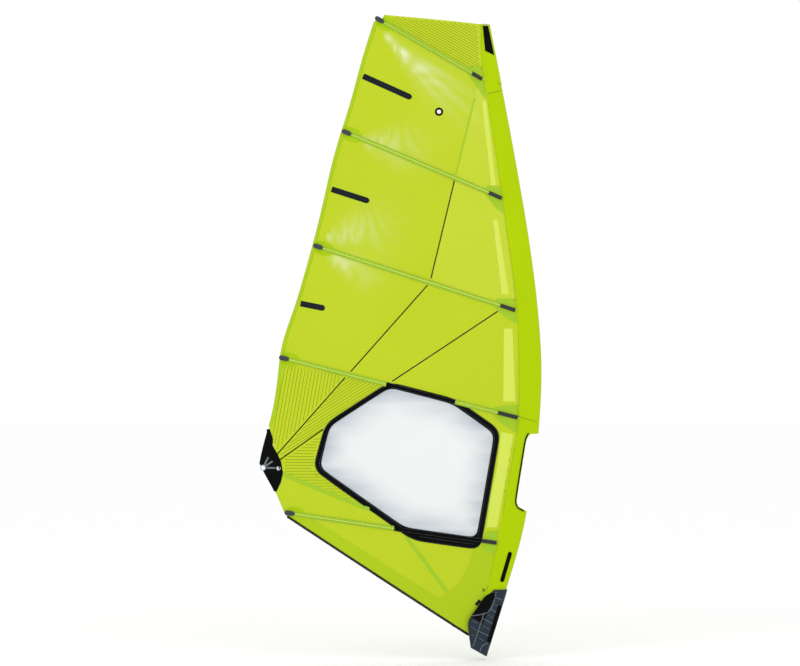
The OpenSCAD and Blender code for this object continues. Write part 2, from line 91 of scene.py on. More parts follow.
world = bpy.data.worlds.new("studio")
scene.world = world
world.use_nodes = True
world.node_tree.nodes["Background"].inputs["Strength"].default_value = 1.0
world.node_tree.nodes["Background"].inputs["Color"].default_value = (1, 1, 1, 1)


def lamp(name, place, aim, size, watts):
    data = bpy.data.lights.new(name, "AREA")
    data.shape = "RECTANGLE"
    data.size, data.size_y = size
    data.energy = watts
    obj = bpy.data.objects.new(name, data)
    obj.location = place
    obj.rotation_euler = (Vector(aim) - Vector(place)).to_track_quat("-Z", "Y").to_euler()
    scene.collection.objects.link(obj)
    return obj


lamp("key", (-6, -7, 6.5), (-0.6, 0, 2.6), (2.2, 2.2), 90)
lamp("strip", (3.5, -6, 5), (0, 0, 2.2), (0.7, 4), 30)

# %% [markdown]
# ## Colour and node helpers
# Colours are written as the hex values that a paint card has. One function makes them linear. One more
# adds a node, sets its own settings and sets or links its inputs.

# %% Helpers for materials
def linear(code, alpha=1.0):
    parts = [int(code[i:i + 2], 16) / 255 for i in (1, 3, 5)]
    return tuple(c / 12.92 if c <= 0.04045 else ((c + 0.055) / 1.055) ** 2.4 for c in parts) + (alpha,)


def add(tree, kind, settings=None, **inputs):
    node = tree.nodes.new(kind)
    for key, value in (settings or {}).items():
        setattr(node, key, value)
    for key, value in inputs.items():
        numbered = key[0] == "i" and key[1:].isdigit()
        socket = node.inputs[int(key[1:]) if numbered else key.replace("_", " ")]
        if isinstance(value, bpy.types.NodeSocket):
            tree.links.new(value, socket)
        else:
            socket.default_value = value
    return node


def new_material(name):
    material = bpy.data.materials.new(name)
    material.use_nodes = True
    tree = material.node_tree
    tree.nodes.clear()
    out = tree.nodes.new("ShaderNodeOutputMaterial")
    where = add(tree, "ShaderNodeTexCoord").outputs["Object"]
    return material, tree, out, where


def finish_material(tree, out, shader, bump=None, distance=0.001, strength=0.4):
    if bump is not None:
        normal = add(tree, "ShaderNodeBump", Height=bump, Distance=distance, Strength=strength)
        tree.links.new(normal.outputs["Normal"], shader.inputs["Normal"])
    tree.links.new(shader.outputs[0], out.inputs["Surface"])


def mixed(tree, factor, low, high):
    node = add(tree, "ShaderNodeMix", {"data_type": "RGBA"}, Factor=factor)
    for socket, value in ((node.inputs[6], low), (node.inputs[7], high)):
        if isinstance(value, bpy.types.NodeSocket):
            tree.links.new(value, socket)
        else:
            socket.default_value = value
    return node.outputs[2]


def threads(tree, where, pitch, angle, sharp=0.5):
    """Lines a pitch apart, seen from the front, turned by an angle in degrees."""
    turned = add(tree, "ShaderNodeMapping", Vector=where, Rotation=(0, math.radians(angle), 0))
    wave = add(tree, "ShaderNodeTexWave",
               {"wave_type": "BANDS", "bands_direction": "X", "wave_profile": "SIN"},
               Vector=turned.outputs["Vector"], Scale=math.tau / 20 / pitch)
    ramp = add(tree, "ShaderNodeValToRGB", Fac=wave.outputs["Fac"])
    ramp.color_ramp.elements[0].position = sharp
    return ramp.outputs["Color"]


# %% [markdown]
# ## Film and cloth finishes
# Sail film is two layers of polyester film with yarns between them: tinted, glossy, a little uneven in
# tone where the glue is thicker. Real yarns are about 3 mm apart, which is finer than this picture can
# hold, so the light grid is drawn at 22 mm. Sleeve cloth is woven, duller and more even.

# %% Film and cloth materials
def film(name, tone, pale, grid=0.022, grid_show=0.10, rough=0.30, coat=0.06):
    material, tree, out, where = new_material(name)
    cloud = add(tree, "ShaderNodeTexNoise", Vector=where, Scale=1.6, Detail=3.0)
    base = mixed(tree, cloud.outputs["Fac"], linear(tone), linear(pale))
    warp = threads(tree, where, grid, 32, 0.80)
    weft = threads(tree, where, grid, -58, 0.80)
    both = add(tree, "ShaderNodeMath", {"operation": "MAXIMUM"}, i0=warp, i1=weft).outputs[0]
    faint = add(tree, "ShaderNodeMath", {"operation": "MULTIPLY"}, i0=both, i1=grid_show).outputs[0]
    colour = mixed(tree, faint, base, linear("#eef59a"))
    # Painted highlight: the colour is pulled towards a whitish sheen where the panel's highlight attribute is
    # high.
    painted_highlight = add(tree, "ShaderNodeAttribute", {"attribute_name": "painted_highlight"}).outputs["Fac"]
    colour = mixed(tree, painted_highlight, colour, linear("#eef2d2"))
    mottled = add(tree, "ShaderNodeTexNoise", Vector=where, Scale=9.0, Detail=4.0)
    gloss = add(tree, "ShaderNodeMapRange", Value=mottled.outputs["Fac"], i3=rough - 0.06, i4=rough + 0.1)
    shader = add(tree, "ShaderNodeBsdfPrincipled", Base_Color=colour, Roughness=gloss.outputs[0],
                 Coat_Weight=coat,
                 Coat_Roughness=0.18, IOR=1.5, Specular_IOR_Level=0.12)
    ripple = add(tree, "ShaderNodeTexNoise", Vector=where, Scale=22.0, Detail=2.0)
    finish_material(tree, out, shader, ripple.outputs["Fac"], 0.002, 0.25)
    return material


def woven(name, tone, pale, pitch=0.004, rough=0.62, sheen=0.15, angle=0, depth=0.0004, gloss=0.15):
    material, tree, out, where = new_material(name)
    warp = threads(tree, where, pitch, angle, 0.2)
    weft = threads(tree, where, pitch, angle + 90, 0.2)
    weave = add(tree, "ShaderNodeMath", {"operation": "MULTIPLY"}, i0=warp, i1=weft).outputs[0]
    cloud = add(tree, "ShaderNodeTexNoise", Vector=where, Scale=3.0, Detail=4.0)
    mix_by = add(tree, "ShaderNodeMath", {"operation": "MULTIPLY_ADD"}, i0=weave, i1=0.35, i2=0.0)
    tone_by = add(tree, "ShaderNodeMath", {"operation": "MULTIPLY_ADD"}, i0=cloud.outputs["Fac"], i1=0.65,
                  i2=mix_by.outputs[0])
    colour = mixed(tree, tone_by.outputs[0], linear(tone), linear(pale))
    shader = add(tree, "ShaderNodeBsdfPrincipled", Base_Color=colour, Roughness=rough,
                 Sheen_Weight=sheen * 0.2,
                 Sheen_Roughness=0.5, Specular_IOR_Level=gloss)
    finish_material(tree, out, shader, weave, depth, 0.5)
    return material


def moulded(name, tone, pale, rough=0.45, grain=900.0, metallic=0.0):
    material, tree, out, where = new_material(name)
    fine = add(tree, "ShaderNodeTexNoise", Vector=where, Scale=grain, Detail=2.0)
    cloud = add(tree, "ShaderNodeTexNoise", Vector=where, Scale=30.0, Detail=3.0)
    colour = mixed(tree, cloud.outputs["Fac"], linear(tone), linear(pale))
    gloss = add(tree, "ShaderNodeMapRange", Value=fine.outputs["Fac"], i3=rough - 0.08, i4=rough + 0.12)
    shader = add(tree, "ShaderNodeBsdfPrincipled", Base_Color=colour, Roughness=gloss.outputs[0],
                 Metallic=metallic)
    finish_material(tree, out, shader, fine.outputs["Fac"], 0.0002, 0.3)
    return material


BODY_FILM = film("lime_monofilm", "#b1c500", "#bbce14")
LUFF_FILM = film("pale_lime_laminate", "#b7ca18", "#c1d12c")
HEAD_FILM = film("lime_scrim_film", "#b1c600", "#bccf0d")
SLEEVE_CLOTH = woven("lime_sleeve_polyester", "#a7c400", "#b2d200", 0.005, gloss=0.06)
EDGE_CLOTH = woven("lime_edge_tape", "#9ebe00", "#b0cf00", 0.004)
PATCH_CLOTH = film("green_reinforcement", "#91bc02", "#9ec30a", 0.010, 0.15, 0.4)
PALE_STRIP = film("pale_luff_strip", "#c9da46", "#d2e156", 0.012, 0.2, 0.35)
BLACK_LAMINATE = woven("black_laminate", "#030304", "#0a0b0c", 0.006, 0.5, 0.04, gloss=0.05)
BLACK_TAPE = woven("black_binding_tape", "#030304", "#0b0c0d", 0.003, 0.7, 0.1, gloss=0.05)
MINI_CLOTH = woven("blue_black_batten_cloth", "#10151a", "#1e252c", 0.005, 0.5, 0.1, gloss=0.08)
OLIVE_YARN = woven("olive_aramid_yarn", "#4c5210", "#626a1a", 0.003, 0.55, 0.1)
LIME_THREAD = woven("lime_polyester_thread", "#d4ea5a", "#e2f27c", 0.001, 0.5, 0.2)
DARK_THREAD = woven("dark_polyester_thread", "#39400e", "#4c5516", 0.001, 0.5, 0.2)
GREY_THREAD = woven("grey_bonded_thread", "#70787f", "#8c949a", 0.001, 0.5, 0.2)
WEBBING = woven("grey_polyester_webbing", "#5c6368", "#7d858a", 0.003, 0.65, 0.3)
PAD_CLOTH = woven("slate_foam_backed_cloth", "#212b35", "#2f3b47", 0.004, 0.7, 0.3, 45)
PAD_WELT = woven("grey_welt_cord", "#4b565f", "#6b7680", 0.002, 0.6, 0.3)
BLACK_NYLON = moulded("moulded_black_nylon", "#07080a", "#14161a", 0.42)
SLATE_NYLON = moulded("moulded_slate_nylon", "#1c242c", "#2b3640", 0.40)
STEEL = moulded("turned_stainless_steel", "#b4b8bc", "#cfd2d5", 0.24, 400.0, 1.0)
ROD_GLASS = moulded("pultruded_glass_fibre", "#16191d", "#2a2f35", 0.35, 500.0)
ACETAL = moulded("white_acetal", "#d8dad8", "#eceeec", 0.3)
WHITE_PRINT = moulded("white_film_ink", "#eceeee", "#fafafa", 0.4)
print(len(bpy.data.materials), "materials")

# %% [markdown]
# ## From a CAD solid to a cloth surface
# A cloth piece in the frame is a closed skin of flat facets. A copy is welded, its triangles are paired
# back into quads, its rims are creased, and a subdivision surface makes it flow. The object keeps the
# origin, so patterns on Object coordinates stay put. Another way would be to redraw each panel, but then
# its place could drift from the frame's.

# %% Make, finish and place a piece
PIECES = []


def keep(obj, material, body, replaces=()):
    obj.data.materials.clear()
    obj.data.materials.append(material)
    if obj.name not in scene.collection.objects:
        scene.collection.objects.link(obj)
    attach(obj, body)
    if replaces:
        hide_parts(*replaces)
    PIECES.append(obj.name)
    return obj


def from_points(name, verts, faces, smooth=True):
    mesh = bpy.data.meshes.new(name)
    mesh.from_pydata([tuple(v) for v in verts], [], faces)
    mesh.validate()
    mesh.update()
    for poly in mesh.polygons:
        poly.use_smooth = smooth
    return bpy.data.objects.new(name, mesh)


def welded(node):
    bm = bmesh.new()
    bm.from_mesh(NODES[node].data)
    bmesh.ops.remove_doubles(bm, verts=bm.verts, dist=1e-5)
    bmesh.ops.join_triangles(bm, faces=bm.faces, angle_face_threshold=0.6, angle_shape_threshold=1.2)
    return bm


def soft_copy(name, node, levels=2, crease_from=35, ripple=None):
    """A finer copy of a cloth solid. ripple(x, z) gives how far the cloth moves towards -Y, in metres."""
    bm = welded(node)
    crease = bm.edges.layers.float.new("crease_edge")
    for edge in bm.edges:
        if len(edge.link_faces) == 2 and math.degrees(edge.calc_face_angle(0)) > crease_from:
            edge[crease] = 1.0
    mesh = bpy.data.meshes.new(name)
    bm.to_mesh(mesh)
    bm.free()
    obj = bpy.data.objects.new(name, mesh)
    scene.collection.objects.link(obj)
    divide = obj.modifiers.new("flow", "SUBSURF")
    divide.levels = divide.render_levels = levels
    shaped = bpy.data.meshes.new_from_object(obj.evaluated_get(bpy.context.evaluated_depsgraph_get()))
    obj.modifiers.clear()
    obj.data = shaped
    shaped.name = name
    if ripple:
        for v in shaped.vertices:
            v.co.y -= ripple(v.co.x, v.co.z)
    for poly in shaped.polygons:
        poly.use_smooth = True
    sharpen(shaped)
    return obj


def sharpen(mesh, angle=40):
    mesh.set_sharp_from_angle(angle=math.radians(angle))


def widen(mesh, by):
    """Moves a piece's rims outwards by a small seam allowance, so that neighbours meet under their tape."""
    co = np.array([v.co for v in mesh.vertices])
    low, high = co.min(0), co.max(0)
    half = np.maximum((high - low) / 2, 1e-6)
    co[:, [0, 2]] += (by * (co - (low + high) / 2) / half)[:, [0, 2]]
    mesh.vertices.foreach_set("co", co.ravel())
    mesh.update()


def cloth_area(obj):
    return sum(p.area for p in obj.data.polygons) / 2


def declare_sheet(obj):
    """The size comes from the mesh itself: width, length and area of the piece seen flat. The size comes from
    the mesh itself, so its agreement with the mesh proves nothing. An area under the least share of its
    rectangle that may be declared is raised to that share."""
    co = np.array([(v.co.x, v.co.z) for v in obj.data.vertices])
    co -= co.mean(0)
    axes = np.linalg.svd(co, full_matrices=False)[2]
    span = np.ptp(co @ axes.T, axis=0)
    area = cloth_area(obj)
    width, length = sorted(float(v) * 1.01 for v in span)
    width = max(width, area / length * 1.001)
    area = max(area, 0.301 * width * length)
    return width, length, area


def round_ends(obj, ends=(False, True)):
    """Rounds the aft and fore ends of a straight strip, seen from the front."""
    mesh = obj.data
    co = np.array([v.co for v in mesh.vertices])
    flat = co[:, [0, 2]]
    middle = flat.mean(0)
    way = np.linalg.svd(flat - middle, full_matrices=False)[2][0]
    way = way if way[0] > 0 else -way
    across_way = np.array([-way[1], way[0]])
    along, across = (flat - middle) @ way, (flat - middle) @ across_way
    half = np.ptp(across) / 2
    centre = (across.max() + across.min()) / 2
    for is_fore, wanted in enumerate(ends):
        if wanted:
            from_end = (along.max() - along) if is_fore else (along - along.min())
            t = np.clip(1 - from_end / half, 0, 1)
            across = centre + (across - centre) * np.sqrt(np.maximum(1 - t * t, 0.0004))
    co[:, [0, 2]] = middle + along[:, None] * way + across[:, None] * across_way
    mesh.vertices.foreach_set("co", co.ravel())
    mesh.update()


def split_parts(obj):
    """One object for each loose part, largest height first, so that each cut strip is a piece of its own."""
    bm = bmesh.new()
    bm.from_mesh(obj.data)
    bm.faces.ensure_lookup_table()
    owner = {}
    groups = []
    for face in bm.faces:
        if face.index in owner:
            continue
        stack, group = [face], []
        owner[face.index] = len(groups)
        while stack:
            here = stack.pop()
            group.append(here.index)
            for edge in here.edges:
                for other in edge.link_faces:
                    if other.index not in owner:
                        owner[other.index] = len(groups)
                        stack.append(other)
        groups.append(group)
    bm.free()
    parts = []
    for k, group in enumerate(groups):
        keep_faces = set(group)
        part = bmesh.new()
        part.from_mesh(obj.data)
        part.faces.ensure_lookup_table()
        bmesh.ops.delete(part, geom=[f for f in part.faces if f.index not in keep_faces], context="FACES")
        mesh = bpy.data.meshes.new(f"{obj.name}_{k + 1}")
        part.to_mesh(mesh)
        part.free()
        parts.append(bpy.data.objects.new(mesh.name, mesh))
    bpy.data.objects.remove(obj)
    parts.sort(key=lambda p: -max(v.co.z for v in p.data.vertices))
    return parts


# %% [markdown]
# ## Wrinkles
# A taut sail isn't glass-flat. Each rod pushes on the leech, so shallow folds fan out from every
# tensioner and from the clew, and die away within half a metre. They are moved in the mesh, not
# painted, so they also show in the sheen.

# %% Folds that fan out from the loaded points
LOADS = [sum(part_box(f"tensioner_slider_{i}"), Vector()) / 2 for i in range(1, 6)]
LOADS.append(sum(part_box("clew_ring"), Vector()) / 2)
FOLD = 1.1 * MM
SPOKES = 13


def folds(x, z):
    total = 0.0
    for load in LOADS:
        dx, dz = x - load.x, z - load.z
        far = math.hypot(dx, dz)
        if far > 1.2:
            continue
        near = min(1.0, far / 0.08)
        ripple = math.sin(SPOKES * math.atan2(dz, dx) + 9 * far)
        total += FOLD * near * math.exp(-((far / 0.34) ** 2)) * ripple
    return total


# %% [markdown]
# ## The panels
# Fifteen cut panels make the body: scrim film at the head and clew where the load fans out, plain film
# along the leech, paler laminate along the luff.

# %% Panels
PANEL_FINISH = {
    "head_panel": HEAD_FILM, "clew_panel_upper": HEAD_FILM, "clew_panel_middle": HEAD_FILM,
    "clew_panel_lower": HEAD_FILM, "luff_panel_1": LUFF_FILM, "luff_panel_2": LUFF_FILM,
    "luff_panel_3": BODY_FILM, "luff_panel_4": BODY_FILM, "foot_panel_fore": BODY_FILM,
    "leech_panel_1": BODY_FILM, "leech_panel_2": BODY_FILM, "leech_panel_3": BODY_FILM,
    "centre_panel": BODY_FILM, "foot_panel_aft": BODY_FILM,
}
# Painted highlights on the film: place in mm, direction in degrees, reach, strength and spread of each fan of
# sheen streaks.
PAINTED_HIGHLIGHTS = [((-680, 4305), -42, 0.50, 0.85, 0.18), ((-860, 3560), -8, 0.34, 0.42, 0.40),
         ((-1085, 2880), 12, 0.34, 0.40, 0.45), ((-1090, 2760), -22, 0.26, 0.62, 0.30)]
SEAM_ALLOWANCE = 1.6 * MM


def painted_highlight_at(x, z):
    """Paints a whitish highlight into the film's colour, a fan of sheen streaks near where each rod pushes on
    the leech.
    """
    total = 0.0
    for place, way, reach, strength, width in PAINTED_HIGHLIGHTS:
        dx, dz = x - (place[0] - 20.7) * MM, z - place[1] * MM
        far = math.hypot(dx, dz)
        off = math.atan2(dz, dx) - math.radians(way)
        off = math.atan2(math.sin(off), math.cos(off))
        streak = 0.62 + 0.38 * math.sin(off * 46 + 1.3)
        rise = min(1.0, far / 0.03)
        total += strength * rise * math.exp(-((far / reach) ** 2)) * math.exp(-((off / width) ** 2)) * streak
    return min(1.0, total)


flat_sizes = {}
for node, finish in PANEL_FINISH.items():
    piece = soft_copy("film_" + node, node, 2, 35, folds)
    widen(piece.data, SEAM_ALLOWANCE)
    # Painted highlight: each panel gets whitish sheen streaks painted into its colour near the loaded leech
    # ends.
    painted_highlight = piece.data.attributes.new("painted_highlight", "FLOAT", "POINT")
    painted_highlight.data.foreach_set("value", [painted_highlight_at(v.co.x, v.co.z) for v in piece.data.vertices])
    keep(piece, finish, "root", [node])
    flat_sizes[node] = declare_sheet(piece)
    print(node, "flat", [round(v, 3) for v in flat_sizes[node]])

# %% [markdown]
# ## Finding the cloth
# Everything sewn on has to lie on the cloth. A ray is sent through the sail at a place seen from the
# front; where it meets the cloth is where the thread, tape or yarn goes. One tree holds all the cloth.

# %% A ray onto the cloth
def tree_of(names, made=True):
    bm = bmesh.new()
    for name in names:
        bm.from_mesh(bpy.data.objects[name].data if made else NODES[name].data)
    tree = BVHTree.FromBMesh(bm)
    bm.free()
    return tree


PANE_AND_SLEEVE = ["window_pane", "sleeve_head", "sleeve_main", "sleeve_lower"]
cloth = bmesh.new()
for node in PANEL_FINISH:
    cloth.from_mesh(bpy.data.objects["film_" + node].data)
for node in PANE_AND_SLEEVE:
    cloth.from_mesh(NODES[node].data)
CLOTH = BVHTree.FromBMesh(cloth)
cloth.free()


def hit(tree, x, z, side=-1):
    found = tree.ray_cast(Vector((x, side * 1.0, z)), Vector((0, -side, 0)))
    return found[0]


def on_cloth(x, z, lift, side=-1, tree=None):
    point = hit(tree or CLOTH, x, z, side)
    return None if point is None else Vector((x, point.y + side * lift, z))


def laid(points, lift, step=0.03, side=-1, tree=None):
    """Runs of points on the cloth along a line drawn from the front; a run ends where the cloth does."""
    runs, run = [], []
    for (xa, za), (xb, zb) in zip(points, points[1:]):
        count = max(1, int(math.hypot(xb - xa, zb - za) / step))
        for i in range(count + 1):
            t = i / count
            place = on_cloth(xa + (xb - xa) * t, za + (zb - za) * t, lift, side, tree)
            if place is None:
                runs.append(run)
                run = []
            elif not run or (place - run[-1]).length > 1e-5:
                run.append(place)
    runs.append(run)
    return [r for r in runs if len(r) > 1]


# %% [markdown]
# ## Flat ribbons
# Seam tapes, bands and strips are thin closed ribbons. Their edges are two lines on the cloth; the
# solid between them is as thick as the real tape, so its edge catches light.

# %% Ribbons, bands and discs on the cloth
def band(name, left, right, lift, thick, finish, slot, parts=24, rows=3, side=-1, body="root"):
    """A closed patch between two lines, each a list of (x, z)."""
    def even(line, count):
        line = np.array(line, float)
        far = np.concatenate([[0], np.cumsum(np.linalg.norm(np.diff(line, axis=0), axis=1))])
        at = np.linspace(0, far[-1], count)
        return np.stack([np.interp(at, far, line[:, k]) for k in range(2)], axis=1)

    a, b = even(left, parts + 1), even(right, parts + 1)
    front = []
    for i in range(parts + 1):
        for j in range(rows + 1):
            x, z = a[i] + (b[i] - a[i]) * j / rows
            place = on_cloth(x, z, lift, side)
            if place is None:
                place = Vector((x, front[-1].y if front else 0, z))
            front.append(place)
    top = [p + Vector((0, side * thick, 0)) for p in front]
    n, w = len(front), rows + 1
    faces = []
    for i in range(parts):
        for j in range(rows):
            q = [i * w + j, (i + 1) * w + j, (i + 1) * w + j + 1, i * w + j + 1]
            faces += [q, [n + v for v in reversed(q)]]
    rim = [i * w for i in range(parts + 1)] + [parts * w + j for j in range(1, w)]
    rim += [i * w + rows for i in range(parts - 1, -1, -1)] + [j for j in range(rows - 1, 0, -1)]
    faces += [[a0, a0 + n, b0 + n, b0] for a0, b0 in zip(rim, rim[1:] + rim[:1])]
    obj = from_points(name, front + top, faces)
    right_way(obj.data)
    return keep(obj, finish, body)


def right_way(mesh):
    bm = bmesh.new()
    bm.from_mesh(mesh)
    bmesh.ops.remove_doubles(bm, verts=bm.verts, dist=1e-6)
    bmesh.ops.recalc_face_normals(bm, faces=bm.faces)
    bm.to_mesh(mesh)
    bm.free()
    for poly in mesh.polygons:
        poly.use_smooth = True
    sharpen(mesh)


def ribbon(name, line, width, lift, thick, finish, slot, parts=24, **more):
    line = [Vector((x, z)) for x, z in line]
    left, right = [], []
    for i, p in enumerate(line):
        d = (line[min(i + 1, len(line) - 1)] - line[max(i - 1, 0)]).normalized()
        side = Vector((-d.y, d.x)) * width / 2
        left.append(p + side)
        right.append(p - side)
    return band(name, left, right, lift, thick, finish, slot, parts, 1, **more)


def disc(name, centre, outer, inner, lift, thick, finish, slot, parts=32):
    left = [(centre[0] + outer * math.cos(a), centre[1] + outer * math.sin(a))
            for a in np.linspace(0, math.tau, parts + 1)]
    right = [(centre[0] + inner * math.cos(a), centre[1] + inner * math.sin(a))
             for a in np.linspace(0, math.tau, parts + 1)]
    return band(name, left, right, lift, thick, finish, slot, parts, 2)


# %% [markdown]
# ## Thread, yarn and welt by Geometry Nodes
# Two small trees do the sewing. One turns lines into yarn: it sweeps a flat profile along each line.
# The other sets one stitch at every pitch along a line, turned to follow it. Both have their sizes as
# named inputs and end in Realize Instances and Set Material.

# %% The yarn tree and the stitch tree
def node_group(name, inputs):
    tree = bpy.data.node_groups.new(name, "GeometryNodeTree")
    tree.interface.new_socket("Geometry", in_out="INPUT", socket_type="NodeSocketGeometry")
    for title, kind in inputs:
        tree.interface.new_socket(title, in_out="INPUT", socket_type=kind)
    tree.interface.new_socket("Geometry", in_out="OUTPUT", socket_type="NodeSocketGeometry")
    source = tree.nodes.new("NodeGroupInput").outputs
    return tree, source, tree.nodes.new("NodeGroupOutput").inputs


def end_tree(tree, geometry, finish, out):
    real = add(tree, "GeometryNodeRealizeInstances", Geometry=geometry)
    done = add(tree, "GeometryNodeSetMaterial", Geometry=real.outputs[0], Material=finish)
    tree.links.new(done.outputs[0], out["Geometry"])


YARN, source, out = node_group("yarn_along_lines", [
    ("Width", "NodeSocketFloat"), ("Thickness", "NodeSocketFloat"), ("Finish", "NodeSocketMaterial")])
line = add(YARN, "GeometryNodeMeshToCurve", Mesh=source["Geometry"])
profile = add(YARN, "GeometryNodeCurvePrimitiveCircle", Resolution=6, Radius=0.5)
flat = add(YARN, "ShaderNodeCombineXYZ", X=source["Thickness"], Y=source["Width"], Z=1.0)
shaped = add(YARN, "GeometryNodeTransform", Geometry=profile.outputs[0], Scale=flat.outputs[0])
swept = add(YARN, "GeometryNodeCurveToMesh", Curve=line.outputs[0], Profile_Curve=shaped.outputs[0],
            Fill_Caps=True)
end_tree(YARN, swept.outputs[0], source["Finish"], out)

STITCH, source, out = node_group("stitches_along_lines", [
    ("Pitch", "NodeSocketFloat"), ("Length", "NodeSocketFloat"), ("Thread", "NodeSocketFloat"),
    ("Slant", "NodeSocketFloat"), ("Finish", "NodeSocketMaterial")])
line = add(STITCH, "GeometryNodeMeshToCurve", Mesh=source["Geometry"])
points = add(STITCH, "GeometryNodeCurveToPoints", {"mode": "LENGTH"}, Curve=line.outputs[0],
             Length=source["Pitch"])
size = add(STITCH, "ShaderNodeCombineXYZ", X=source["Thread"], Y=source["Thread"], Z=source["Length"])
one = add(STITCH, "GeometryNodeMeshCube", Size=size.outputs[0])
count = add(STITCH, "GeometryNodeInputIndex").outputs[0]
odd = add(STITCH, "ShaderNodeMath", {"operation": "PINGPONG"}, i0=count, i1=1.0)
swing = add(STITCH, "ShaderNodeMath", {"operation": "MULTIPLY_ADD"}, i0=odd.outputs[0], i1=2.0, i2=-1.0)
angle = add(STITCH, "ShaderNodeMath", {"operation": "MULTIPLY"}, i0=swing.outputs[0], i1=source["Slant"])
slant = add(STITCH, "FunctionNodeAxisAngleToRotation", Axis=(0, 1, 0), Angle=angle.outputs[0])
turn = add(STITCH, "FunctionNodeRotateRotation", {"rotation_space": "GLOBAL"},
           Rotation=points.outputs["Rotation"], Rotate_By=slant.outputs[0])
spread = add(STITCH, "GeometryNodeInstanceOnPoints", Points=points.outputs["Points"], Instance=one.outputs[0],
             Rotation=turn.outputs[0])
end_tree(STITCH, spread.outputs[0], source["Finish"], out)


def run_tree(name, tree, lines, settings, slot, body="root"):
    """Draws lines as edges, runs a tree over them, and keeps the result as one plain mesh."""
    verts, edges = [], []
    for run in lines:
        start = len(verts)
        verts += [tuple(p) for p in run]
        edges += [(i, i + 1) for i in range(start, len(verts) - 1)]
    mesh = bpy.data.meshes.new(name)
    mesh.from_pydata(verts, edges, [])
    obj = bpy.data.objects.new(name, mesh)
    scene.collection.objects.link(obj)
    modifier = obj.modifiers.new("sewing", "NODES")
    modifier.node_group = tree
    for item in tree.interface.items_tree:
        if item.in_out == "INPUT" and item.name in settings:
            modifier[item.identifier] = settings[item.name]
    bpy.context.view_layer.update()
    made = bpy.data.meshes.new_from_object(obj.evaluated_get(bpy.context.evaluated_depsgraph_get()))
    obj.modifiers.clear()
    obj.data = made
    made.name = name
    right_way(made)
    print(name, len(made.polygons), "faces")
    return keep(obj, settings["Finish"], body)


def yarns(name, lines, width, thick, finish, slot, **more):
    return run_tree(name, YARN, lines, {"Width": width, "Thickness": thick, "Finish": finish}, slot, **more)


def stitches(name, lines, finish, slot, pitch=9 * MM, length=7 * MM, thread=1.1 * MM, slant=0.0, **more):
    settings = {"Pitch": pitch, "Length": length, "Thread": thread, "Slant": slant, "Finish": finish}
    return run_tree(name, STITCH, lines, settings, slot, **more)

# %% [markdown]
# ## Scrim yarns
# At the head and clew, dark yarns run between the films along the lines of load. They are laid as one
# set of parallel lines per panel; each line is cut where its own panel ends.

# %% Yarn fans
def fan(node, degrees, pitch, inset=12 * MM):
    """Parallel lines over a panel, seen from the front, cut to the panel."""
    low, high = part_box(node)
    middle = Vector(((low.x + high.x) / 2, (low.z + high.z) / 2))
    reach = math.hypot(high.x - low.x, high.z - low.z) / 2
    d = Vector((math.cos(math.radians(degrees)), math.sin(math.radians(degrees))))
    n = Vector((-d.y, d.x))
    tree = tree_of(["film_" + node])
    lines = []
    for k in range(int(-reach / pitch), int(reach / pitch) + 1):
        a, b = middle + n * k * pitch - d * reach, middle + n * k * pitch + d * reach
        for run in laid([(a.x, a.y), (b.x, b.y)], 0.35 * MM, 0.02, tree=tree):
            cut = int(inset / 0.02) + 1
            if len(run) > 2 * cut + 2:
                lines.append(run[cut:-cut])
    return lines


YARN_W = 2.6 * MM
YARN_T = 0.5 * MM
for node, degrees, pitch in (("head_panel", -29.5, 0.0165), ("clew_panel_upper", 80, 0.024),
                             ("clew_panel_middle", 32, 0.0185), ("clew_panel_lower", 0, 0.0205)):
    yarns("yarns_" + node, fan(node, degrees, pitch), YARN_W, YARN_T, OLIVE_YARN, "scrim_film")

# %% [markdown]
# ## Seam tapes and bands
# Where two panels meet, a tape is glued and sewn over the joint. Two long seams run from the clew to the
# luff in black; the others are lime. Places are written in millimetres on the flat sail, as a sailmaker
# marks them: aft of the tack and up from it.

# %% Seams
TACK = 20.7
LOW = 0.5 * MM
THIN = 0.5 * MM
BAND_FILM = film("doubled_lime_film", "#a3bf00", "#afc900", 0.02, 0.06, 0.34)


def mark(*points):
    """Sailmaker's marks in millimetres, as places on the sail seen from the front."""
    return [((x - TACK) * MM, z * MM) for x, z in points]


BLACK_SEAMS = {"a2": [(-180, 3284), (-344, 2602)], "a3": [(-368, 2553), (-904, 1950)],
               "a4": [(-944, 1908), (-1420, 1370)], "b3": [(123, 2371), (-614, 1883)],
               "b5": [(-1096, 1547), (-1401, 1332)]}
for name, line in BLACK_SEAMS.items():
    ribbon("black_seam_" + name, mark(*line), 8 * MM, LOW, THIN, BLACK_TAPE, "black_patch", 30)
ribbon("green_seam_a1", mark((-38, 3860), (-171, 3322)), 11 * MM, LOW, THIN, PATCH_CLOTH, "pocket_cloth", 24)
ribbon("lime_seam_clew_foot", mark((-1380, 1233), (-1300, 1199), (-751, 977)), 30 * MM, LOW, THIN,
       PATCH_CLOTH,
       "pocket_cloth", 24)
ribbon("film_seam_foot", mark((-500, 820), (-183, 166)), 18 * MM, 0.45 * MM, 0.4 * MM, BODY_FILM,
       "body_film", 24)
ribbon("film_seam_tack", mark((-34, 746), (60, 752)), 24 * MM, 0.45 * MM, 0.4 * MM, BODY_FILM, "body_film", 8)
ribbon("green_seam_foot", mark((-519, 801), (-225, 402)), 26 * MM, LOW, THIN, PATCH_CLOTH, "pocket_cloth", 16)

# %% [markdown]
# ## Doubled bands
# The foot, the luff and the ground round each tensioner are doubled in a stronger, darker film. The luff
# has one narrow pale window between two doubled strips, which is why it reads as a light stripe.

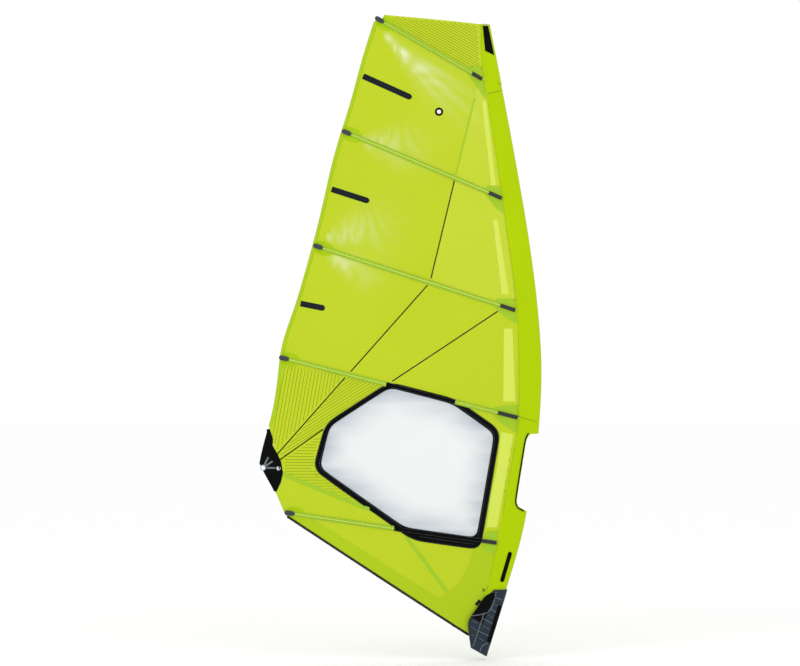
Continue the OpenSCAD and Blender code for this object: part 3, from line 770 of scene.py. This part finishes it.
# %% Bands of doubled film
PALE = {"1": ([(11, 3840), (77, 3250)], [(42, 3840), (110, 3250)]),
        "2": ([(88, 3010), (150, 2490)], [(122, 3010), (200, 2490)]),
        "3": ([(165, 2250), (160, 1740)], [(225, 2250), (246, 1740)]),
        "4": ([(146, 1530), (120, 1300), (70, 1060), (44, 860)],
              [(232, 1510), (214, 1400), (158, 1085), (120, 862)])}
for name, (left, right) in PALE.items():
    band("pale_luff_strip_" + name, mark(*left), mark(*right), LOW, THIN, PALE_STRIP, "scrim_light", 24, 1)
band("lime_foot_band", mark((-1345, 962), (-1183, 926), (-733, 648), (-351, 405), (-293, 370)),
     mark((-1334, 932), (-1100, 780), (-700, 519), (-330, 277), (-200, 192)), LOW, THIN, BAND_FILM,
     "sleeve_cloth", 40, 4)
band("lime_tack_band", mark((-46, 738), (-78, 608), (-131, 493), (-212, 417), (-293, 370)),
     mark((118, 742), (86, 600), (50, 440), (-5, 260), (-80, 125), (-190, 186)), LOW, THIN, BAND_FILM,
     "sleeve_cloth", 30, 5)


def along_rod(i):
    """The aft-to-fore direction of a rod at its tensioner, and the slider's middle, seen from the front."""
    slider = sum(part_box(f"tensioner_slider_{i}"), Vector()) / 2
    rod = NODES[f"batten_{i}"].data.vertices
    near = [v.co for v in rod if (v.co - slider).length < 0.35]
    ahead = sum(near, Vector()) / len(near)
    d = Vector((ahead.x - slider.x, ahead.z - slider.z)).normalized()
    return Vector((slider.x, slider.z)), d, Vector((-d.y, d.x))


def onto_cloth(place, d):
    """Moves a point forward along the rod until there is cloth under it."""
    for _ in range(40):
        if hit(CLOTH, place.x, place.y) is not None:
            break
        place = place + d * 0.003
    return place


for i in range(1, 6):
    middle, d, n = along_rod(i)
    turn = np.linspace(0.0, math.pi, 17)
    reach = [middle + d * (0.024 - 0.064 * math.cos(t)) for t in turn]
    wide = [n * (0.048 * math.sin(t) ** 0.6 + 0.001) for t in turn]
    upper = [onto_cloth(p + w, d) for p, w in zip(reach, wide)]
    lower = [onto_cloth(p - w, d) for p, w in zip(reach, wide)]
    band(f"tensioner_lobe_{i}", upper, lower, LOW, THIN, EDGE_CLOTH, "edge_tape", 16, 4)
print(len(PIECES), "pieces so far")

# %% [markdown]
# ## The mast sleeve
# The sleeve is a tube of woven cloth in lengths, sewn shut along the back of the luff. Above the boom
# opening it is one long piece; below it is shorter. Two fine dark seams cross it where panels join.

# %% Sleeve, its seams and its black trim
for node in ("sleeve_head", "sleeve_main", "sleeve_lower", "sleeve_foot"):
    piece = soft_copy("cloth_" + node, node, 1, 35)
    widen(piece.data, 2.3 * MM)
    keep(piece, SLEEVE_CLOTH, "root", [node])
    declare_sheet(piece)
for node, finish in (("head_patch", BLACK_LAMINATE), ("sleeve_strip", BLACK_LAMINATE),
                     ("cutout_binding", BLACK_TAPE), ("sleeve_tip_cap", WEBBING)):
    piece = soft_copy("cloth_" + node, node, 3 if node == "sleeve_strip" else 1, 35)
    if node == "sleeve_strip":
        round_ends(piece, (True, True))
    keep(piece, finish, "root", [node])

cross_seams = laid(mark((52, 3890), (160, 3919)), 0.6 * MM, 0.01)
cross_seams += laid(mark((262, 1638), (423, 1588)), 0.6 * MM, 0.01)
yarns("sleeve_cross_seams", cross_seams, 2.4 * MM, 0.8 * MM, DARK_THREAD, "sleeve_cloth")
seam_runs = laid(mark((-72, 4080), (-28, 3850), (53, 3250), (131, 2486)), 0.9 * MM, 0.03)
stitches("luff_seam_stitches", seam_runs, LIME_THREAD, "sleeve_cloth", 8 * MM, 6 * MM, 1.2 * MM, 0.5)

# %% [markdown]
# ## The window
# Clear film in a black laminate frame. The pane is a thin closed sheet; the frame and the black pocket
# ends over it are sewn with a double row of grey thread, which shows as fine dots.

# %% Window pane and frame
def clear_film(name):
    material, tree, out, where = new_material(name)
    cloud = add(tree, "ShaderNodeTexNoise", Vector=where, Scale=0.9, Detail=2.0)
    edge = add(tree, "ShaderNodeAttribute", {"attribute_name": "edge_shade"}).outputs["Fac"]
    streak_way = add(tree, "ShaderNodeMapping", Vector=where, Rotation=(0, math.radians(28), 0),
                     Scale=(1.2, 1, 7))
    streak = add(tree, "ShaderNodeTexNoise", Vector=streak_way.outputs["Vector"], Scale=1.6, Detail=3.0)
    near = add(tree, "ShaderNodeMath", {"operation": "MULTIPLY"}, i0=edge, i1=streak.outputs["Fac"])
    shade = add(tree, "ShaderNodeMath", {"operation": "MULTIPLY", "use_clamp": True}, i0=near.outputs[0],
                i1=1.7)
    # Painted shade: the clear film is greyed in streaks near the frame, as edge_shade rises.
    frame_shaded_colour = mixed(tree, shade.outputs[0], linear("#fdfefe"), linear("#c9d2da"))
    colour = mixed(tree, add(tree, "ShaderNodeMath", {"operation": "MULTIPLY"}, i0=cloud.outputs["Fac"],
                             i1=0.12).outputs[0], frame_shaded_colour, linear("#e4eaee"))
    shader = add(tree, "ShaderNodeBsdfPrincipled", Base_Color=colour, Roughness=0.12, IOR=1.45,
                 Transmission_Weight=0.55, Coat_Weight=0.4, Coat_Roughness=0.08)
    finish_material(tree, out, shader, cloud.outputs["Fac"], 0.004, 0.2)
    return material


CLEAR_FILM = clear_film("clear_window_film")
pane = soft_copy("clear_pane", "window_pane", 2, 35)
# Painted shade: edge_shade is 1 at the frame and fades out 0.2 m away from it.
shade = pane.data.attributes.new("edge_shade", "FLOAT", "POINT")
frame_tree = tree_of(["window_frame"], made=False)
for i, v in enumerate(pane.data.vertices):
    found = frame_tree.find_nearest(v.co)
    shade.data[i].value = max(0.0, 1.0 - found[3] / 0.20) ** 1.4 if found[0] is not None else 0.0
keep(pane, CLEAR_FILM, "root", ["window_pane"])
declare_sheet(pane)
keep(soft_copy("laminate_frame", "window_frame", 1, 35), BLACK_LAMINATE, "root",
     ["window_frame"])

# %% [markdown]
# ## Rods and pockets
# Five tapered glass rods run from leech to luff. Each sits in a sewn pocket: two flat flanges and an arch.
# The pocket turns black where it crosses the window frame.

# %% Rods, pockets and luff caps

def pocket_finish(name):
    """Green flanges, with a painted highlight that turns the arch's top paler the higher it stands off the
    cloth.
    """
    material, tree, out, where = new_material(name)
    high = add(tree, "ShaderNodeAttribute", {"attribute_name": "painted_crown_highlight"}).outputs["Fac"]
    fine = add(tree, "ShaderNodeTexNoise", Vector=where, Scale=60.0, Detail=3.0)
    uneven = add(tree, "ShaderNodeMath", {"operation": "MULTIPLY_ADD"}, i0=fine.outputs["Fac"], i1=0.25,
                 i2=high)
    # Painted highlight: random noise plus the arch's height pull the colour towards a pale green.
    colour = mixed(tree, uneven.outputs[0], linear("#93b80a"), linear("#b9d84e"))
    shader = add(tree, "ShaderNodeBsdfPrincipled", Base_Color=colour, Roughness=0.36, Coat_Weight=0.12,
                 Specular_IOR_Level=0.25)
    finish_material(tree, out, shader, fine.outputs["Fac"], 0.0006, 0.4)
    return material


POCKET_FINISH = pocket_finish("green_pocket_painted_arch_highlight")
BLACK_FROM = {4: (-655, -165), 5: (-590, 400)}
# Loose parts come in mesh order, not in sail order: pocket_1 lies over batten 3 and pocket_3 over
# batten 1.
for i, pocket in enumerate(split_parts(soft_copy("pocket", "batten_pockets", 1, 50)), 1):
    # Painted highlight: each point's pale value comes from how far the arch stands off the cloth.
    painted_crown_highlight = pocket.data.attributes.new("painted_crown_highlight", "FLOAT", "POINT")
    for k, v in enumerate(pocket.data.vertices):
        under = hit(CLOTH, v.co.x, v.co.z)
        rise = (under.y - v.co.y) if under is not None else 0.0
        painted_crown_highlight.data[k].value = min(1.0, max(0.0, (rise - 5 * MM) / (9 * MM)))
    keep(pocket, POCKET_FINISH, "root", ["batten_pockets"])
    if i in BLACK_FROM:
        pocket.data.materials.append(BLACK_LAMINATE)
        (left, _), (right, _) = mark(*[(x, 0) for x in BLACK_FROM[i]])
        for poly in pocket.data.polygons:
            poly.material_index = int(left < poly.center.x < right)

ROUND = {"luff_caps": BLACK_NYLON, "tensioner_housings": SLATE_NYLON, "clew_ring": STEEL,
         "clew_eyelet": STEEL,
         "pulley_cage": SLATE_NYLON, "pulley_axle": STEEL, "mini_battens": ROD_GLASS}
ROUND.update({f"batten_{i}": ROD_GLASS for i in range(1, 6)})
ROUND.update({f"tensioner_screw_{i}": STEEL for i in range(1, 6)})
ROUND.update({f"tensioner_slider_{i}": BLACK_NYLON for i in range(1, 6)})
ROUND.update({f"sheave_{i}": ACETAL for i in range(1, 4)})
for node, finish in ROUND.items():
    for slot in NODES[node].material_slots:
        slot.material = finish
print(len(ROUND), "CAD pieces shown with their own finish")

# %% [markdown]
# ## Tapes, patches and straps
# The leech and foot are bound with folded tape. Black and green patches are stiff laminate, soft at
# their rims.

# %% Sewn-on patches
COPIES = {"leech_tape": (EDGE_CLOTH, 0.05), "foot_tape": (BLACK_TAPE, 0.05),
          "luff_reinforcements": (PATCH_CLOTH, 0.06),
          "mini_pockets": (MINI_CLOTH, 0.035), "clew_patch": (BLACK_LAMINATE, 0.2),
          "clew_straps": (WEBBING, 0.015),
          "tack_webbing": (WEBBING, 0.025), "fairing_pocket": (BLACK_LAMINATE, 0.06)}
for node, (finish, width) in COPIES.items():
    for part in split_parts(soft_copy(node + "_cloth", node, 3 if node == "mini_pockets" else 1, 35)):
        if node == "mini_pockets":
            round_ends(part)
        keep(part, finish, "root", [node])
keep(soft_copy("closure_tab", "fairing_flap", 1, 35), BLACK_TAPE, "flap",
     ["fairing_flap"])
pad = soft_copy("foam_fairing", "fairing_pad", 2, 35)
keep(pad, PAD_CLOTH, "root", ["fairing_pad"])
print(len(PIECES), "pieces so far")

# %% [markdown]
# ## Stitching
# The batten pockets, the window frame, the black seams and the leech and foot tapes are sewn down. Lines
# run a few millimetres inside each edge; the leech and foot tapes are sewn in zigzag, the rest in
# straight rows. Real pitch is about 4 mm; here it is 9 mm, so that single stitches still read at this
# picture's size.

# %% Stitch rows
def centre_line(node, parts=24):
    """The middle of a long piece, as (x, z) points from its aft end to its fore end."""
    co = np.array([(v.co.x, v.co.z) for v in NODES[node].data.vertices])
    middle = co.mean(0)
    way = np.linalg.svd(co - middle, full_matrices=False)[2][0]
    way = way if way[0] > 0 else -way
    along = (co - middle) @ way
    across = (co - middle) @ np.array([-way[1], way[0]])
    order = np.argsort(along)
    at = np.linspace(along.min(), along.max(), parts)
    off = np.interp(at, along[order], across[order]) if parts > 2 else np.zeros(parts)
    return [tuple(middle + way * a + np.array([-way[1], way[0]]) * o) for a, o in zip(at, off)]


def shifted(line, gap):
    moved = []
    for i, (x, z) in enumerate(line):
        a, b = line[max(i - 1, 0)], line[min(i + 1, len(line) - 1)]
        d = Vector((b[0] - a[0], b[1] - a[1])).normalized()
        moved.append((x - d.y * gap, z + d.x * gap))
    return moved


def outline(node):
    """The convex outline of a piece seen from the front, as a closed list of (x, z)."""
    points = sorted({(round(v.co.x, 5), round(v.co.z, 5)) for v in NODES[node].data.vertices})

    def half(seq):
        out = []
        for p in seq:
            while len(out) > 1 and ((out[-1][0] - out[-2][0]) * (p[1] - out[-2][1])
                                    - (out[-1][1] - out[-2][1]) * (p[0] - out[-2][0])) <= 1e-7:
                out.pop()
            out.append(p)
        return out[:-1]

    ring = half(points) + half(points[::-1])
    return ring + ring[:1]


lime_rows, grey_rows = [], []
for i in range(1, 6):
    rod = centre_line(f"batten_{i}", 3)
    rod = [rod[0], rod[-1]]
    left, right = [(x - TACK) * MM for x in BLACK_FROM.get(i, (900, 900))]
    for gap in (-11.5 * MM, 11.5 * MM):
        for run in laid(shifted(rod, gap), 4.3 * MM, 0.03):
            lime_rows += [[p for p in run if p.x < left], [p for p in run if p.x > right]]
            grey_rows.append([p for p in run if left <= p.x <= right])
stitches("pocket_stitches", [r for r in lime_rows if len(r) > 1], LIME_THREAD, "pocket_cloth", 10 * MM,
         7 * MM, 1.0 * MM)
stitches("pocket_stitches_black", [r for r in grey_rows if len(r) > 1], GREY_THREAD, "black_patch",
         10 * MM, 6 * MM,
         0.9 * MM)

frame_ring = outline("window_frame")
frame_rows = laid(shifted(frame_ring, 6 * MM), 2.7 * MM, 0.03)
frame_rows += laid(shifted(frame_ring, 34 * MM), 2.7 * MM, 0.03)
stitches("frame_stitches", frame_rows, GREY_THREAD, "black_patch", 10 * MM, 6 * MM, 0.9 * MM)


def edge_line(node, apart=0.03):
    """Middle of a tape that runs up an edge: the mean of the points at each of its stations."""
    points = sorted((v.co.z, v.co.x) for v in NODES[node].data.vertices)
    stations = [[points[0]]]
    for below, above in zip(points, points[1:]):
        if above[0] - below[0] > apart:
            stations.append([])
        stations[-1].append(above)
    return [(sum(x for _, x in s) / len(s), sum(z for z, _ in s) / len(s)) for s in stations]


leech_rows = laid(edge_line("leech_tape"), 3.0 * MM, 0.02)
stitches("leech_tape_zigzag", leech_rows, LIME_THREAD, "edge_tape", 9 * MM, 11 * MM, 1.1 * MM, 0.75)
foot_rows = laid(mark((-1339, 930), (-91, 115)), 3.0 * MM, 0.02)
stitches("foot_tape_zigzag", foot_rows, GREY_THREAD, "binding", 9 * MM, 11 * MM, 1.0 * MM, 0.75)
seam_rows = []
for line in BLACK_SEAMS.values():
    seam_rows += laid(mark(*line), 1.2 * MM, 0.03)
stitches("black_seam_stitches", seam_rows, GREY_THREAD, "black_patch", 10 * MM, 6 * MM, 0.7 * MM)

# %% [markdown]
# ## Clew, marks and fairing welts
# The clew patch carries a steel ring with two straps and a plain white tag beside it. The round mark
# near the head and the row of dots beside the boom opening are printed trim marks. The padded fairing is
# quilted: raised welts cross it where its layers are sewn.

# %% Small parts
for i, (x, z) in enumerate([(215, 1402), (202, 1330), (192, 1259), (179, 1184), (172, 1114)]):
    disc(f"boom_height_dot_{i + 1}", mark((x, z))[0], 3.6 * MM, 0.4 * MM, LOW, THIN, DARK_THREAD,
         "pocket_cloth", 16)
disc("trim_ring", mark((-288, 3763))[0], 29 * MM, 14.6 * MM, LOW, THIN, BLACK_TAPE, "black_patch", 48)
disc("trim_ring_centre", mark((-288, 3763))[0], 14.4 * MM, 0.4 * MM, LOW, THIN, WHITE_PRINT, "clear_film", 32)
disc("tack_ring", mark((25, 422))[0], 10 * MM, 6 * MM, LOW + 2.5 * MM, THIN, BLACK_TAPE, "black_patch", 32)
ribbon("tack_tab", mark((0, 350), (-30, 317)), 23 * MM, 1.2 * MM, 1.5 * MM, MINI_CLOTH, "black_patch", 6)
CLEW_RIM = [(-1488, 1546), (-1464, 1476), (-1466, 1428), (-1430, 1364), (-1407, 1316), (-1394, 1240),
            (-1408, 1179), (-1440, 1112)]
ribbon("clew_patch_rim", mark(*[(x + 3, z) for x, z in CLEW_RIM]), 25 * MM, 1.6 * MM, 0.8 * MM,
       BLACK_LAMINATE, "black_patch", 36)
ribbon("clew_tag", mark((-1478, 1268), (-1427, 1268)), 17 * MM, 3.2 * MM, 0.8 * MM, WHITE_PRINT,
       "clear_film", 8)

PAD_TREE = tree_of(["foam_fairing", "fairing_pocket_cloth_1"])
WELTS = {
    "long_welts": (8, 3.2,
                   [[(112, 412), (96, 340), (81, 301), (51, 267), (0, 252), (-60, 244)],
                    [(27, 263), (-51, 26)],
                            [(-3, -10), (3, 12), (16, 34), (54, 56)]]),
    "cross_welts": (7, 2.6, [[(112, 371), (150, 353)], [(75, 289), (114, 266)], [(20, 225), (90, 185)],
                             [(-9, 136), (62, 101)]]),
    "fine_welts": (4, 1.6,
                   [[(101, 324), (130, 309)], [(54, 251), (95, 228)], [(20, 173), (69, 147)],
                    [(-9, 89), (23, 69)],
                            [(-55, 211), (-15, 190)], [(-64, 167), (-27, 144)], [(-61, 115), (-41, 104)]])}
for name, (width, thick, group) in WELTS.items():
    runs = []
    for line in group:
        runs += laid(mark(*line), 0.2 * MM, 0.006, tree=PAD_TREE)
    yarns("fairing_" + name, runs, width * MM, thick * MM, PAD_WELT, "padded_cloth")
print(len(PIECES), "pieces")

# %% [markdown]
# ## Floor and the end
# A pale floor stands just under the lowest point of the tack.

# %% Floor
low, high = (Vector(v) for v in cad_box)
floor = from_points("floor", [(-30, -30, low.z - 0.02), (30, -30, low.z - 0.02), (30, 60, low.z - 0.02),
                              (-30, 60, low.z - 0.02)], [(0, 1, 2, 3)], False)
scene.collection.objects.link(floor)
floor.data.materials.append(moulded("pale_studio_floor", "#fcfcfc", "#ffffff", 0.9, 40.0))
